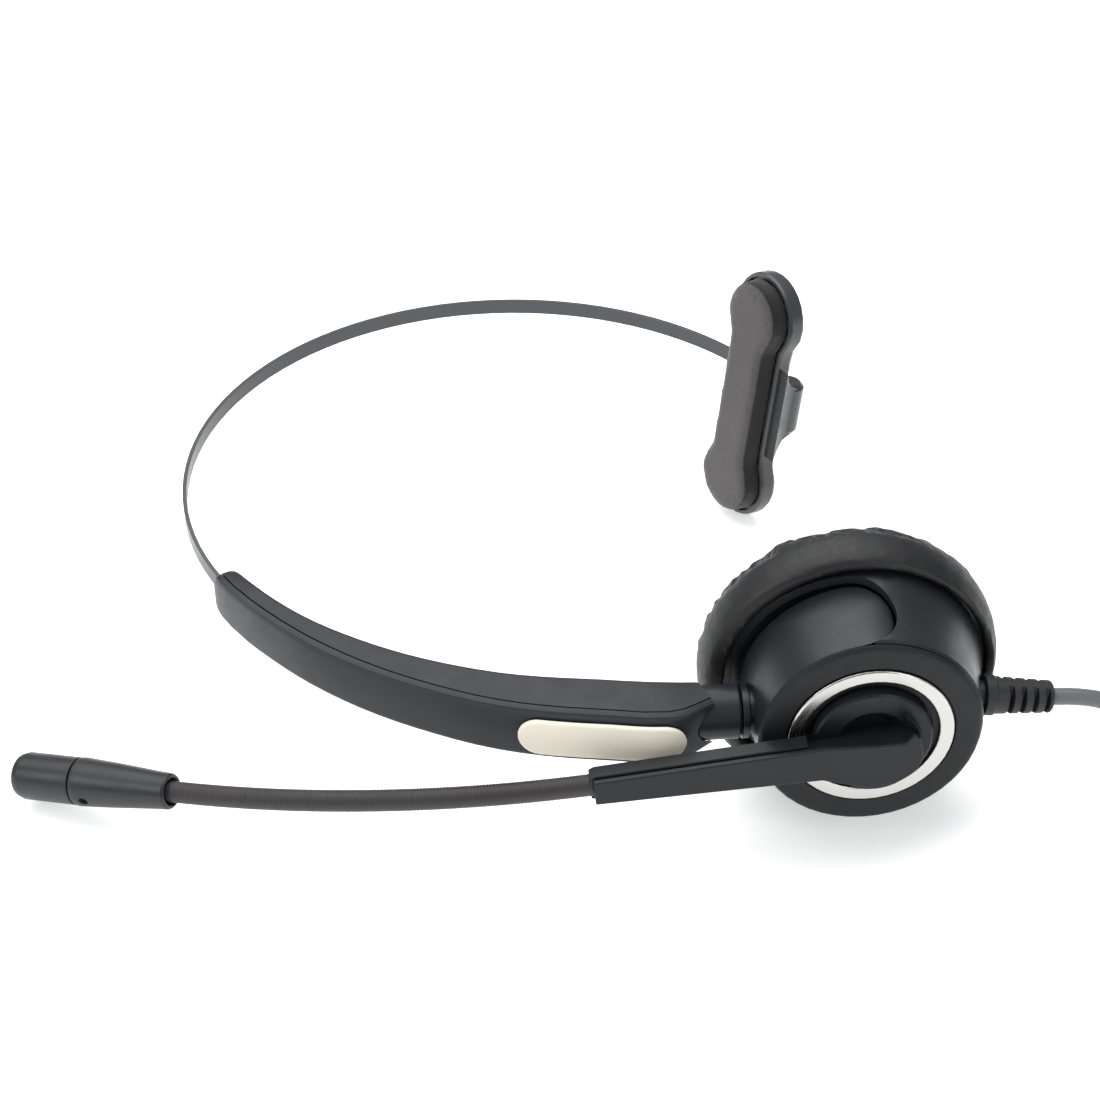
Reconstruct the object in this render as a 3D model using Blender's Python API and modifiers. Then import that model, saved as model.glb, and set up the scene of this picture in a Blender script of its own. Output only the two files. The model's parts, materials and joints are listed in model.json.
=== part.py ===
"""Single-ear office headset, lying on its side on a desk.

A steel ribbon headband slides in a plastic arm. The arm swivels on a yoke, and the yoke carries the
ear cup. A boom with a gooseneck and a microphone turns on the cup's face, and a small temple pad
closes the other end of the band. The cord leaves the cup, drops to the desk and lies in a tied coil.

Everything on the headset is modelled in the band's own plane and then set down on the desk by one
empty, tilted until the cushion, the pad and the microphone touch the desk. The desk is z = 0.
"""
import math

import bmesh
import bpy
from mathutils import Matrix, Vector

MM = 0.001
GAP = 0.3 * MM

# How the headset lies: the band's plane rises a little towards the back.
LIE_TILT = math.radians(1.7)
LIE_PLACE = Vector((4.53, -12.86, 28.99)) * MM

# Headband: one arc in the band's plane, angles counted from +X round the arc's centre.
BAND_CENTRE = Vector((-8.0, 25.0, 0.0)) * MM
BAND_RADIUS = 66.0 * MM
BAND_WIDTH = 3.2 * MM
BAND_THICKNESS = 0.8 * MM
BAND_EYE_ANGLE = 27.3
BAND_INNER_ANGLE = 238.0

# Ear cup: its axis lies level in the band's plane. Cup coordinates: x right, y up, z outwards.
CUP_CENTRE = Vector((57.0, -50.0, 0.0)) * MM
CUP_YAW = math.radians(4.6)
PIVOT_DEPTH = -3.5 * MM

# Yoke: a band round half of the cup, with round ends past the two tilt pins.
YOKE_OUTER = 20.1 * MM
YOKE_INNER = 18.0 * MM
YOKE_HALF_WIDTH = 7.5 * MM
YOKE_FLARE = 1.5 * MM
YOKE_END_REACH = 4.0 * MM
TILT_PIN_RADIUS = 1.2 * MM

# Boom: turns on the cup's axis and points left and a little down. Boom coordinates: x towards the
# microphone, y down, z outwards.
BOOM_DROP = math.radians(5.6)
BOOM_LENGTH = 51.0 * MM
BOOM_RISE = -0.1 * MM
BOOM_UPPER = 0.8
GOOSENECK_RISE = 0.45 * MM
BOOM_BACK = 6.7 * MM
BOOM_SPLIT = 10.4 * MM

# Gooseneck: straight links on hinges, bent inwards and a little down towards the microphone.
GOOSENECK_RADIUS = 1.9 * MM
GOOSENECK_HINGES = 5
GOOSENECK_PITCH = 15.74 * MM
GOOSENECK_BEND = math.radians(5.15)
GOOSENECK_ROLL = math.radians(13.5)
GOOSENECK_HEIGHT = 9.2 * MM
LINK_GAP = 0.35 * MM
MIC_PORT_TURN = 170

# Temple pad: coordinates x outwards from the band's centre, y along the band, z up.
PAD_ANGLE = 32.0
PAD_MIDDLE = -2.1 * MM
PAD_HALF_LENGTH = 28.7 * MM
PAD_LEAN = math.radians(7.3)
PAD_LOBE = 9.6 * MM
PAD_WAIST = 7.4 * MM

# Cord: 3.2 mm, out of the strain relief, down to the desk and into a coil.
CORD_RADIUS = 1.6 * MM
COIL_CENTRE = Vector((158.0, -60.0, 0.0)) * MM
COIL_INNER = 10.6
COIL_OUTER = 24.6
COIL_LOW = 0.6
COIL_HIGH = 13.2
TIE_ANGLE = math.radians(8)
PLUG_PLACE = Vector((190.4, -49.6, 3.35)) * MM

MATERIALS = {
    "body_plastic": ((0.030, 0.036, 0.042), 0.38, 0.0),
    "cap_plastic": ((0.028, 0.030, 0.032), 0.62, 0.0),
    "boom_plastic": ((0.026, 0.032, 0.037), 0.42, 0.0),
    "band_steel": ((0.30, 0.30, 0.30), 0.35, 1.0),
    "satin_chrome": ((0.78, 0.77, 0.76), 0.25, 1.0),
    "badge_plate": ((0.66, 0.62, 0.53), 0.30, 0.0),
    "leatherette": ((0.020, 0.023, 0.025), 0.50, 0.0),
    "pad_foam": ((0.120, 0.110, 0.110), 0.90, 0.0),
    "pad_plastic": ((0.110, 0.125, 0.130), 0.45, 0.0),
    "ear_foam": ((0.025, 0.025, 0.025), 0.95, 0.0),
    "gooseneck": ((0.060, 0.055, 0.058), 0.60, 0.0),
    "mic_plastic": ((0.022, 0.026, 0.029), 0.45, 0.0),
    "steel": ((0.55, 0.55, 0.55), 0.30, 1.0),
    "speaker_metal": ((0.35, 0.35, 0.36), 0.35, 1.0),
    "diaphragm": ((0.55, 0.50, 0.38), 0.40, 0.0),
    "board": ((0.04, 0.16, 0.08), 0.50, 0.0),
    "cord": ((0.085, 0.088, 0.092), 0.50, 0.0),
    "relief_rubber": ((0.030, 0.032, 0.035), 0.60, 0.0),
    "tie": ((0.020, 0.020, 0.020), 0.80, 0.0),
    "plug_clear": ((0.70, 0.72, 0.74), 0.15, 0.0),
    "gold": ((0.90, 0.68, 0.30), 0.25, 1.0),
}

PARTS = bpy.data.collections.new("office_headset")
CUTTERS = bpy.data.collections.new("cutters")
FRAMES = {}


# ---------------------------------------------------------------- helpers

def clear_scene():
    for obj in list(bpy.data.objects):
        bpy.data.objects.remove(obj, do_unlink=True)
    bpy.context.scene.collection.children.link(PARTS)
    bpy.context.scene.collection.children.link(CUTTERS)


def surface(slot):
    """The material of a slot, made the first time it is asked for."""
    if slot in bpy.data.materials:
        return bpy.data.materials[slot]
    colour, roughness, metallic = MATERIALS[slot]
    made = bpy.data.materials.new(slot)
    made.use_nodes = True
    shader = made.node_tree.nodes["Principled BSDF"]
    shader.inputs["Base Color"].default_value = (*colour, 1.0)
    shader.inputs["Roughness"].default_value = roughness
    shader.inputs["Metallic"].default_value = metallic
    return made


def add_frame(name, parent, matrix):
    """An empty that carries pieces; FRAMES keeps its world matrix."""
    empty = bpy.data.objects.new(name, None)
    empty.empty_display_size = 5 * MM
    PARTS.objects.link(empty)
    if parent is None:
        FRAMES[name] = (empty, matrix.copy())
    else:
        empty.parent = FRAMES[parent][0]
        FRAMES[name] = (empty, FRAMES[parent][1] @ matrix)
    empty.matrix_basis = matrix


def settle(obj, body, drawn_in, local=None):
    """Parent obj to the frame called body, keeping it where the frame drawn_in puts it."""
    empty, body_world = FRAMES[body]
    drawn_world = FRAMES[drawn_in][1]
    obj.parent = empty
    obj.matrix_basis = body_world.inverted() @ drawn_world @ (local or Matrix.Identity(4))


def add_piece(name, mesh, slot, body, drawn_in=None, local=None):
    obj = bpy.data.objects.new(name, mesh)
    PARTS.objects.link(obj)
    mesh.materials.append(surface(slot))
    mesh.shade_smooth()
    mesh.set_sharp_from_angle(angle=math.radians(35))
    settle(obj, body, drawn_in or body, local)
    return obj


def add_cutter(name, mesh, drawn_in, local=None):
    obj = bpy.data.objects.new(name, mesh)
    CUTTERS.objects.link(obj)
    obj.hide_render = True
    obj.display_type = "WIRE"
    settle(obj, drawn_in, drawn_in, local)
    return obj


def boolean(obj, other, operation="DIFFERENCE"):
    step = obj.modifiers.new(operation.lower() + "_" + other.name, "BOOLEAN")
    step.operation = operation
    step.object = other
    step.solver = "EXACT"


def profile_mesh(name, points, closed):
    """Profile points (radius, height) in mm, as edges in the XZ plane for a Screw modifier."""
    mesh = bpy.data.meshes.new(name)
    verts = [(r * MM, 0.0, z * MM) for r, z in points]
    edges = [(i, i + 1) for i in range(len(verts) - 1)]
    if closed:
        edges.append((len(verts) - 1, 0))
    mesh.from_pydata(verts, edges, [])
    return mesh


def spin(obj, steps):
    screw = obj.modifiers.new("turn", "SCREW")
    screw.steps = steps
    screw.render_steps = steps
    screw.use_merge_vertices = True
    screw.merge_threshold = 0.00002
    screw.use_smooth_shade = True
    return obj


def turned(name, points, slot, body, drawn_in=None, local=None, steps=40, closed=False):
    mesh = profile_mesh(name, points, closed)
    return spin(add_piece(name, mesh, slot, body, drawn_in, local), steps)


def turned_cutter(name, points, drawn_in, local=None, steps=32, closed=False):
    return spin(add_cutter(name, profile_mesh(name, points, closed), drawn_in, local), steps)


def rod_mesh(name, radius, length, sides=24, radius_end=None):
    """Cylinder or cone from z = 0 to z = length."""
    mesh = bpy.data.meshes.new(name)
    bm = bmesh.new()
    end = radius if radius_end is None else radius_end
    bmesh.ops.create_cone(bm, cap_ends=True, segments=sides, radius1=radius, radius2=end, depth=length)
    bmesh.ops.translate(bm, vec=(0, 0, length / 2), verts=bm.verts)
    bm.to_mesh(mesh)
    bm.free()
    return mesh


def box_mesh(name, low, high):
    """Box between two corners, given in mm."""
    mesh = bpy.data.meshes.new(name)
    bm = bmesh.new()
    bmesh.ops.create_cube(bm, size=1.0)
    size = [(h - l) * MM for l, h in zip(low, high)]
    middle = [(h + l) / 2 * MM for l, h in zip(low, high)]
    bmesh.ops.scale(bm, vec=size, verts=bm.verts)
    bmesh.ops.translate(bm, vec=middle, verts=bm.verts)
    bm.to_mesh(mesh)
    bm.free()
    return mesh


def bevelled(obj, width, segments=2):
    bevel = obj.modifiers.new("round edges", "BEVEL")
    bevel.width = width
    bevel.segments = segments
    bevel.limit_method = "ANGLE"
    return obj


def loft_mesh(name, sections):
    """Closed skin through sections of equal point count, capped at both ends."""
    mesh = bpy.data.meshes.new(name)
    bm = bmesh.new()
    rings = [[bm.verts.new(point) for point in section] for section in sections]
    count = len(rings[0])
    for ring, following in zip(rings, rings[1:]):
        for i in range(count):
            j = (i + 1) % count
            bm.faces.new((ring[i], ring[j], following[j], following[i]))
    bm.faces.new(rings[0])
    bm.faces.new(rings[-1])
    bmesh.ops.recalc_face_normals(bm, faces=bm.faces)
    bm.to_mesh(mesh)
    bm.free()
    return mesh


def turn(axis, angle):
    return Matrix.Rotation(angle, 4, axis)


def shift(x, y, z):
    return Matrix.Translation(Vector((x, y, z)))


def polar(radius, angle, z=0.0):
    """Point in the band's plane, at an angle in degrees round the band's centre."""
    a = math.radians(angle)
    return Vector((radius * math.cos(a), radius * math.sin(a), z))


def steps_between(first, last, count):
    return [first + (last - first) * i / (count - 1) for i in range(count)]


def smooth_row(rows, key):
    """Row of values at key, by smooth interpolation between rows sorted on their first value."""
    last = len(rows) - 1
    i = max(0, min(last - 1, sum(1 for row in rows if row[0] <= key) - 1))
    before, start, end, after = rows[max(0, i - 1)], rows[i], rows[i + 1], rows[min(last, i + 2)]
    t = (key - start[0]) / (end[0] - start[0])
    result = []
    for k in range(1, len(start)):
        span = end[0] - start[0]
        slope_in = (end[k] - before[k]) / (end[0] - before[0]) * span
        slope_out = (after[k] - start[k]) / (after[0] - start[0]) * span
        h00 = 2 * t**3 - 3 * t**2 + 1
        h10 = t**3 - 2 * t**2 + t
        h01 = -2 * t**3 + 3 * t**2
        h11 = t**3 - t**2
        result.append(h00 * start[k] + h10 * slope_in + h01 * end[k] + h11 * slope_out)
    return result


# ---------------------------------------------------------------- frames

def make_frames():
    add_frame("headset", None, Matrix.Translation(LIE_PLACE) @ turn("X", LIE_TILT))
    cup = Matrix.Translation(CUP_CENTRE) @ turn("Z", CUP_YAW) @ turn("X", math.radians(90))
    add_frame("cup", "headset", cup)
    add_frame("yoke_tilt", "cup", shift(0, 0, PIVOT_DEPTH))
    add_frame("arm_swivel", "yoke_tilt", turn("Y", math.radians(-90)))
    arc = FRAMES["arm_swivel"][1].inverted() @ FRAMES["headset"][1] @ Matrix.Translation(BAND_CENTRE)
    add_frame("band_slide", "arm_swivel", arc)
    lean = shift(65.4 * MM, 0, 0) @ turn("Y", PAD_LEAN) @ shift(-65.4 * MM, 0, 0)
    add_frame("pad", "band_slide", turn("Z", math.radians(PAD_ANGLE)) @ lean)
    eye = polar(BAND_RADIUS, BAND_EYE_ANGLE - PAD_ANGLE)
    add_frame("pad_hinge", "pad", Matrix.Translation(eye))
    add_frame("boom", "cup", turn("Z", math.pi + BOOM_DROP))
    start = shift(BOOM_LENGTH, -GOOSENECK_RISE, GOOSENECK_HEIGHT)
    add_frame("gooseneck_0", "boom", start)
    axis = Vector((0, math.cos(GOOSENECK_ROLL), math.sin(GOOSENECK_ROLL)))
    bend = Matrix.Rotation(GOOSENECK_BEND, 4, axis)
    for k in range(1, GOOSENECK_HINGES + 1):
        reach = GOOSENECK_PITCH / 2 if k == 1 else GOOSENECK_PITCH
        add_frame(f"gooseneck_{k}", f"gooseneck_{k - 1}", shift(reach, 0, 0) @ bend)
    relief = shift(21.8 * MM, 0, -4.5 * MM) @ turn("Z", math.radians(-6)) @ turn("Y", math.radians(90))
    add_frame("relief", "cup", relief)
    add_frame("desk", None, Matrix.Identity(4))
    add_frame("plug", "desk", Matrix.Translation(PLUG_PLACE))
    add_frame("plug_latch_hinge", "plug", shift(0, 11.2 * MM, 3.7 * MM) @ turn("X", math.radians(-13)))


# ---------------------------------------------------------------- ear cup

def make_cup():
    housing = turned("cup_housing", [
        (3.4, 3.6), (15.9, 3.6), (16.8, 2.7), (16.8, -13.4), (25.0, -13.4), (25.0, -15.3),
        (22.6, -15.3), (22.6, -14.4), (15.2, -14.4), (15.2, 2.0), (3.4, 2.0)],
        "body_plastic", "cup", closed=True)
    for side in (1, -1):
        across = shift(0, side * 12 * MM, PIVOT_DEPTH) @ turn("X", -side * math.pi / 2)
        bore = add_cutter(f"pin_bore_{side}", rod_mesh("pin_bore", 1.5 * MM, 12 * MM), "cup", across)
        boolean(housing, bore)
    passage = add_cutter("cord_passage", rod_mesh("cord_passage", 3.0 * MM, 16 * MM), "relief",
                         shift(0, 0, -12 * MM))
    boolean(housing, passage)

    cover = turned("cup_side_cover", [
        (17.2, 4.0), (20.3, 4.0), (20.7, 3.5), (21.3, -2.0), (22.4, -7.5), (23.6, -11.0), (23.8, -13.1),
        (22.3, -13.1), (22.0, -11.4), (20.9, -7.5), (19.8, -2.0), (19.2, 2.4), (17.2, 2.4)],
        "body_plastic", "cup", closed=True, steps=48)
    boolean(cover, yoke_window())
    boolean(cover, passage)
    seat = rod_mesh("collar_seat", 4.0 * MM, 4 * MM)
    boolean(cover, add_cutter("collar_seat", seat, "relief", shift(0, 0, 0.2 * MM)))

    turned("cup_cap", [
        (11.2, 4.6), (15.4, 4.6), (15.4, 5.2), (18.9, 5.35), (19.8, 5.05), (20.3, 4.5), (20.3, 4.3),
        (17.0, 4.3), (17.0, 3.9), (11.2, 3.9)], "cap_plastic", "cup", closed=True, steps=48)
    turned("chrome_ring", [
        (12.4, 5.3), (12.7, 5.5), (14.8, 5.6), (15.1, 5.4), (15.1, 4.9), (12.4, 4.9)],
        "satin_chrome", "cup", closed=True, steps=48)


def yoke_window():
    """Cutter for the room that the yoke and its round ends take up in the side cover."""
    clear = YOKE_HALF_WIDTH + 0.5 * MM
    centre = YOKE_END_REACH - YOKE_HALF_WIDTH
    back = PIVOT_DEPTH - clear
    outline = [Vector((-40 * MM, 8 * MM)), Vector((-40 * MM, -13.4 * MM)), Vector((-24 * MM, -13.2 * MM)),
               Vector((centre, back))]
    for angle in steps_between(-84, 90, 17):
        a = math.radians(angle)
        outline.append(Vector((centre + clear * math.cos(a), PIVOT_DEPTH + clear * math.sin(a))))
    outline.append(Vector((centre, 8 * MM)))
    ends = [[(p.x, y, p.y) for p in outline] for y in (-40 * MM, 40 * MM)]
    return add_cutter("yoke_window", loft_mesh("yoke_window", ends), "cup")


def make_cushion():
    turned("ear_cushion", [
        (24.3, -11.6), (25.4, -10.8), (26.7, -11.4), (27.7, -14.0), (28.0, -17.0), (27.7, -20.0),
        (26.0, -22.8), (22.8, -24.0), (19.0, -23.6), (15.6, -21.5), (13.4, -18.6), (13.2, -15.7),
        (25.4, -15.7), (25.4, -13.0), (24.3, -13.0)], "leatherette", "cup", closed=True, steps=40)
    turned("cushion_disc", [(0, -16.0), (12.8, -16.0), (12.8, -17.0), (0, -17.0)], "ear_foam", "cup",
           steps=32)


def make_speaker():
    grille = turned("speaker_grille", [(0, -14.7), (22.2, -14.7), (22.2, -15.3), (0, -15.3)],
                    "cap_plastic", "cup", steps=40)
    bm = bmesh.new()
    for ring, holes in ((0, 1), (4.2, 6), (8.4, 12)):
        for k in range(holes):
            a = math.tau * k / holes
            where = shift(ring * MM * math.cos(a), ring * MM * math.sin(a), -15 * MM)
            bmesh.ops.create_cone(bm, cap_ends=True, segments=8, radius1=0.9 * MM, radius2=0.9 * MM,
                                  depth=2 * MM, matrix=where)
    holes_mesh = bpy.data.meshes.new("grille_holes")
    bm.to_mesh(holes_mesh)
    bm.free()
    boolean(grille, add_cutter("grille_holes", holes_mesh, "cup"))

    turned("speaker_frame", [
        (7.6, -9.4), (12.0, -9.8), (14.3, -12.6), (14.3, -14.3), (13.6, -14.3), (13.6, -12.9),
        (11.7, -10.6), (7.6, -10.2)], "speaker_metal", "cup", closed=True, steps=32)
    turned("speaker_magnet", [(0, -6.0), (6.8, -6.0), (7.2, -6.4), (7.2, -10.6), (0, -10.6)],
           "speaker_metal", "cup", steps=32)
    turned("speaker_diaphragm", [
        (0, -11.6), (4.0, -11.8), (8.5, -13.2), (13.2, -13.6), (13.2, -13.9), (8.4, -13.6),
        (4.0, -12.2), (0, -12.0)], "diaphragm", "cup", steps=32)
    bevelled(add_piece("terminal_board", box_mesh("terminal_board", (4, -4, -4.4), (13, 4, -3.4)),
                       "board", "cup"), 0.2 * MM, 1)


def make_tilt_pins():
    for side, name in ((1, "tilt_pin_top"), (-1, "tilt_pin_bottom")):
        across = shift(0, side * 12.6 * MM, PIVOT_DEPTH) @ turn("X", -side * math.pi / 2)
        add_piece(name, rod_mesh(name, TILT_PIN_RADIUS, 6.3 * MM, 20), "steel", "cup", "cup", across)


def make_strain_relief():
    relief = turned("strain_relief", [
        (0, 13.4), (2.6, 13.4), (3.0, 13.0), (3.5, 2.5), (3.8, 2.3), (3.8, 0.5), (2.6, 0.3),
        (2.6, -2.2), (0, -2.2)], "relief_rubber", "relief", steps=28)
    for k in range(4):
        height = 3.6 + 2.3 * k
        top = box_mesh("slot", (1.1, -5, height), (5, 5, height + 0.9))
        boolean(relief, add_cutter(f"slot_up_{k}", top, "relief"))
        low = box_mesh("slot", (-5, -5, height + 1.15), (-1.1, 5, height + 2.05))
        boolean(relief, add_cutter(f"slot_down_{k}", low, "relief"))


# ---------------------------------------------------------------- yoke

def yoke_band_mesh():
    reach = math.degrees(math.asin(YOKE_END_REACH / YOKE_OUTER))
    first = 90 - reach
    last = 270 + reach
    ends = [0.15, 0.8, 2.0, 3.6, 5.4]
    per_mm = math.degrees(1 * MM / YOKE_OUTER)
    angles = [first + s * per_mm for s in ends]
    angles += steps_between(first + 7.5 * per_mm, last - 7.5 * per_mm, 25)
    angles += [last - s * per_mm for s in reversed(ends)]
    sections = []
    for angle in angles:
        from_end = min(angle - first, last - angle) / per_mm * MM
        inset = max(0.0, YOKE_HALF_WIDTH - from_end)
        half = math.sqrt(YOKE_HALF_WIDTH**2 - inset**2)
        a = math.radians(angle)
        way = Vector((math.cos(a), math.sin(a), 0))
        flare = YOKE_FLARE * half / YOKE_HALF_WIDTH
        corners = ((YOKE_OUTER, half), (YOKE_OUTER + flare, -half), (YOKE_INNER, -half),
                   (YOKE_INNER, half))
        sections.append([way * radius + Vector((0, 0, w)) for radius, w in corners])
    return loft_mesh("yoke", sections)


def make_yoke():
    yoke = add_piece("yoke", yoke_band_mesh(), "body_plastic", "yoke_tilt")
    neck = turned_cutter("yoke_neck", [
        (0, 27.8), (2.0, 27.8), (2.3, 27.5), (2.3, 22.4), (5.0, 22.4), (5.0, 21.3), (4.2, 21.0),
        (4.2, 18.6), (0, 18.6)], "arm_swivel", steps=28)
    boolean(yoke, neck, "UNION")
    across = turn("X", math.pi / 2) @ shift(0, 0, -19.4 * MM)
    hole = add_cutter("tilt_holes", rod_mesh("tilt_holes", 1.5 * MM, 38.8 * MM, 20), "yoke_tilt", across)
    boolean(yoke, hole)
    screw_hole = add_cutter("swivel_screw_hole", rod_mesh("hole", 1.1 * MM, 8 * MM, 16), "arm_swivel",
                            shift(0, 0, 22 * MM))
    boolean(yoke, screw_hole)
    turned("swivel_washer", [(1.2, 29.0), (3.5, 29.0), (3.5, 28.2), (1.2, 28.2)], "steel",
           "arm_swivel", steps=24, closed=True)
    turned("swivel_screw", [
        (0, 30.4), (1.5, 30.4), (1.9, 30.0), (1.9, 29.3), (0.8, 29.3), (0.8, 23.0), (0, 23.0)],
        "steel", "arm_swivel", steps=20)


# ---------------------------------------------------------------- arm

# Angle round the band's centre, inner radius, outer radius, half height (mm).
ARM_STATIONS = [
    (214.3, 64.2, 68.2, 3.7),
    (215.4, 63.7, 68.5, 4.6),
    (218.0, 63.5, 68.8, 4.9),
    (224.0, 63.5, 69.1, 5.1),
    (232.0, 63.7, 69.7, 5.2),
    (245.0, 64.4, 71.7, 5.4),
    (258.0, 66.0, 74.7, 5.5),
    (268.0, 68.0, 78.0, 5.6),
    (282.0, 71.7, 82.9, 5.7),
    (290.5, 75.7, 87.0, 5.6),
    (296.0, 78.2, 85.6, 5.0),
]
ARM_PART_DEPTH = 1.6
ARM_WALL = 1.3
ARM_CORNER = 1.5


def part_line(outer):
    """Radius of the joint between the two shells, along the edge of the outer face."""
    return outer - ARM_PART_DEPTH


def shell_section(angle, side):
    """C-shaped section of one arm shell; side is 1 for the outer shell and -1 for the inner."""
    inner, outer, half = smooth_row(ARM_STATIONS, angle)
    face = outer if side > 0 else inner
    joint = part_line(outer) + side * 0.15
    corner = min(ARM_CORNER, abs(face - joint) - 0.2)
    back = face - side * ARM_WALL
    points = [
        (joint, half), (face - side * corner, half), (face - side * corner * 0.3, half - corner * 0.3),
        (face, half - corner), (face, corner - half), (face - side * corner * 0.3, corner * 0.3 - half),
        (face - side * corner, -half), (joint, -half), (joint, ARM_WALL - half),
        (back, ARM_WALL - half), (back, half - ARM_WALL), (joint, half - ARM_WALL)]
    return [polar(radius * MM, angle, z * MM) for radius, z in points]


def make_arm():
    angles = [214.3, 214.7, 215.4, 216.6, 219.5] + steps_between(224, 290, 23)
    outer = [shell_section(angle, 1) for angle in angles + [292, 294, 296]]
    outer_shell = add_piece("arm_outer_shell", loft_mesh("arm_outer_shell", outer), "body_plastic",
                            "arm_swivel", "band_slide")
    barrel_room = turned_cutter("barrel_room", [(0, 36.0), (5.3, 36.0), (5.3, 20.0), (0, 20.0)],
                                "arm_swivel", steps=28)
    boolean(outer_shell, barrel_room)
    inner = [shell_section(angle, -1) for angle in angles + [292, 294, 296]]
    shell = add_piece("arm_inner_shell", loft_mesh("arm_inner_shell", inner), "body_plastic",
                      "arm_swivel", "band_slide")
    barrel = turned_cutter("arm_barrel", [
        (0, 31.0), (4.4, 31.0), (5.0, 30.4), (5.0, 23.1), (4.6, 22.7), (0, 22.7)], "arm_swivel",
        steps=28)
    boolean(shell, barrel, "UNION")
    bore = turned_cutter("barrel_bore", [
        (0, 36.0), (3.9, 36.0), (3.9, 27.9), (2.7, 27.9), (2.7, 20.0), (0, 20.0)], "arm_swivel",
        steps=24)
    boolean(shell, bore)
    for k, angle in enumerate((252.0, 276.0), start=1):
        inner_radius = smooth_row(ARM_STATIONS, angle)[0]
        way = turn("Z", math.radians(angle)) @ turn("Y", math.radians(90))
        hole = rod_mesh("screw_hole", 1.2 * MM, 6 * MM, 16)
        place = way @ shift(0, 0, (inner_radius - 2) * MM)
        boolean(shell, add_cutter(f"arm_screw_hole_{k}", hole, "band_slide", place))
        seat = way @ shift(0, 0, inner_radius * MM)
        turned(f"arm_screw_{k}", [(0, 3.4), (0.8, 3.4), (0.8, -0.7), (1.8, -0.7), (1.8, -1.1),
                                  (1.2, -1.5), (0, -1.5)],
               "steel", "arm_swivel", "band_slide", seat, steps=16)


def make_badge():
    first = 271.6
    last = 291.6
    middle_radius = 82 * MM
    length = math.radians(last - first) * middle_radius
    half_height = 3.9 * MM
    sections = []
    count = 25
    for i in range(count):
        along = length * (0.5 - 0.5 * math.cos(math.pi * (i + 0.35) / (count - 0.3)))
        angle = first + math.degrees(along / middle_radius)
        from_end = min(along, length - along)
        inset = max(0.0, half_height - from_end)
        half = math.sqrt(max(half_height**2 - inset**2, (0.4 * MM)**2))
        seat = smooth_row(ARM_STATIONS, angle)[1] * MM + GAP
        front = seat + 0.9 * MM
        soft = min(0.35 * MM, half / 2)
        sections.append([polar(seat, angle, half), polar(front - soft, angle, half),
                         polar(front, angle, half - soft), polar(front, angle, soft - half),
                         polar(front - soft, angle, -half), polar(seat, angle, -half)])
    add_piece("badge_plate", loft_mesh("badge_plate", sections), "badge_plate", "arm_swivel",
              "band_slide")


# ---------------------------------------------------------------- headband

def arc_bar_mesh(name, inner, outer, half, first, last, count):
    sections = []
    for angle in steps_between(first, last, count):
        sections.append([polar(radius, angle, z) for radius, z in
                         ((inner, half), (outer, half), (outer, -half), (inner, -half))])
    return loft_mesh(name, sections)


def make_band():
    half_thickness = BAND_THICKNESS / 2
    ribbon_mesh = arc_bar_mesh("headband_ribbon", BAND_RADIUS - half_thickness,
                               BAND_RADIUS + half_thickness, BAND_WIDTH / 2, BAND_EYE_ANGLE,
                               BAND_INNER_ANGLE, 61)
    ribbon = add_piece("headband_ribbon", ribbon_mesh, "band_steel", "band_slide")
    eye_place = Matrix.Translation(polar(BAND_RADIUS, BAND_EYE_ANGLE, -BAND_WIDTH / 2))
    eye = add_cutter("band_eye", rod_mesh("band_eye", 2.0 * MM, BAND_WIDTH, 20), "band_slide", eye_place)
    boolean(ribbon, eye, "UNION")
    hole = add_cutter("eye_hole", rod_mesh("eye_hole", 1.2 * MM, 10 * MM, 16), "pad_hinge",
                      shift(0, 0, -5 * MM))
    boolean(ribbon, hole)
    stop = arc_bar_mesh("band_stop", 65.75 * MM, 66.9 * MM, 2.6 * MM, BAND_INNER_ANGLE + 0.3,
                        BAND_INNER_ANGLE + 2.0, 4)
    add_piece("band_stop", stop, "body_plastic", "band_slide")
    spring = arc_bar_mesh("detent_spring", 66.75 * MM, 67.0 * MM, 1.2 * MM, 217.5, 223.0, 6)
    add_piece("detent_spring", spring, "steel", "arm_swivel", "band_slide")
    add_piece("pad_hinge_pin", rod_mesh("pad_hinge_pin", 0.85 * MM, 10.6 * MM, 16), "steel",
              "band_slide", "pad_hinge", shift(0, 0, -8.2 * MM))


# ---------------------------------------------------------------- temple pad

def pad_outline(x, inset):
    """Outline of two round lobes and a waist, at height x over the band's centre."""
    half_length = PAD_HALF_LENGTH - inset
    lobe = PAD_LOBE - inset
    waist = PAD_WAIST - inset
    side = []
    for i in range(1, 24):
        z = -half_length * math.cos(math.pi * i / 24)
        off = max(0.0, abs(z) - (half_length - lobe))
        near = max(0.0, (half_length - lobe) - abs(z))
        bulge = math.sqrt(max(lobe**2 - off**2, 0.0)) if near == 0 else lobe * math.exp(-(near / lobe)**2 / 0.8)
        width = (bulge**8 + (waist if near > 0 else 0.0)**8) ** (1 / 8)
        side.append((width, z))
    points = [(0.0, -half_length)] + side + [(0.0, half_length)]
    points += [(-width, z) for width, z in reversed(side)]
    return [Vector((x * MM, y, z + PAD_MIDDLE)) for y, z in points]


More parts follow.
